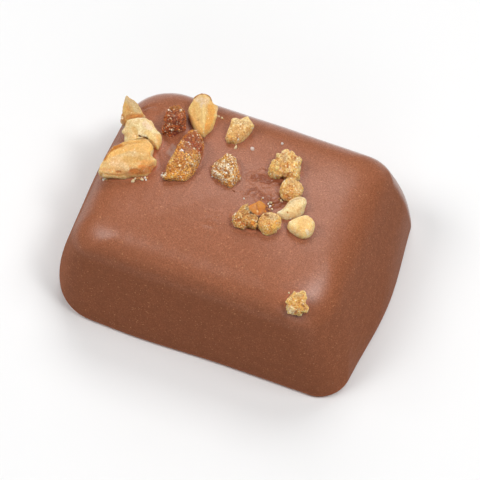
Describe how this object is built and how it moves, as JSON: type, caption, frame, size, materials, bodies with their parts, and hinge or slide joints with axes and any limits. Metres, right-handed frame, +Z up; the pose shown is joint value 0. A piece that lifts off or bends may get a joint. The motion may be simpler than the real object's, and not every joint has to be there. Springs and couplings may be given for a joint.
{
  "type": "filled chocolate bonbon",
  "caption": "Loaf-shaped milk chocolate bonbon with rounded edges and leaning sides, topped near the back with chopped, sugared and caramelised hazelnut pieces.",
  "frame": {"origin": "on the table, under the middle of the bonbon's outline", "axes": "+X along the bonbon, -Y towards its front long side, +Z up"},
  "size_m": [0.037, 0.0274, 0.0181],
  "materials": {
    "chocolate": "satin milk chocolate with a fine grain and faint scuffs",
    "roasted_nut": "roasted hazelnut, ivory on broken faces and brown along its skin",
    "pale_nut": "pale smooth hazelnut flesh with a slight oily sheen",
    "golden_nut": "golden knobbly nut with fine sugar",
    "frosted_nut": "golden nut under white sugar crystals",
    "sugared_nut": "brown to golden sugar crust with glints",
    "amber_caramel": "glossy orange-brown caramel",
    "dark_caramel": "dark brown sugary caramel with glints"
  },
  "bodies": {
    "root": {"chocolate_loaf": "chocolate", "hazelnut_wedge": "roasted_nut", "hazelnut_half": "pale_nut", "hazelnut_shard": "roasted_nut", "hazelnut_teardrop": "pale_nut", "sugared_nut_long": "sugared_nut", "caramel_nut_lump": "dark_caramel", "golden_nut_corner": "golden_nut", "frosted_nut": "frosted_nut", "cluster_nut_large": "golden_nut", "cluster_nut_small": "golden_nut", "amber_caramel_chip": "amber_caramel", "cluster_nut_round": "golden_nut", "caramel_cluster": "dark_caramel", "pale_nut_round": "pale_nut", "pale_nut_long": "pale_nut", "cluster_nut_front": "golden_nut"}
  },
  "joints": []
}
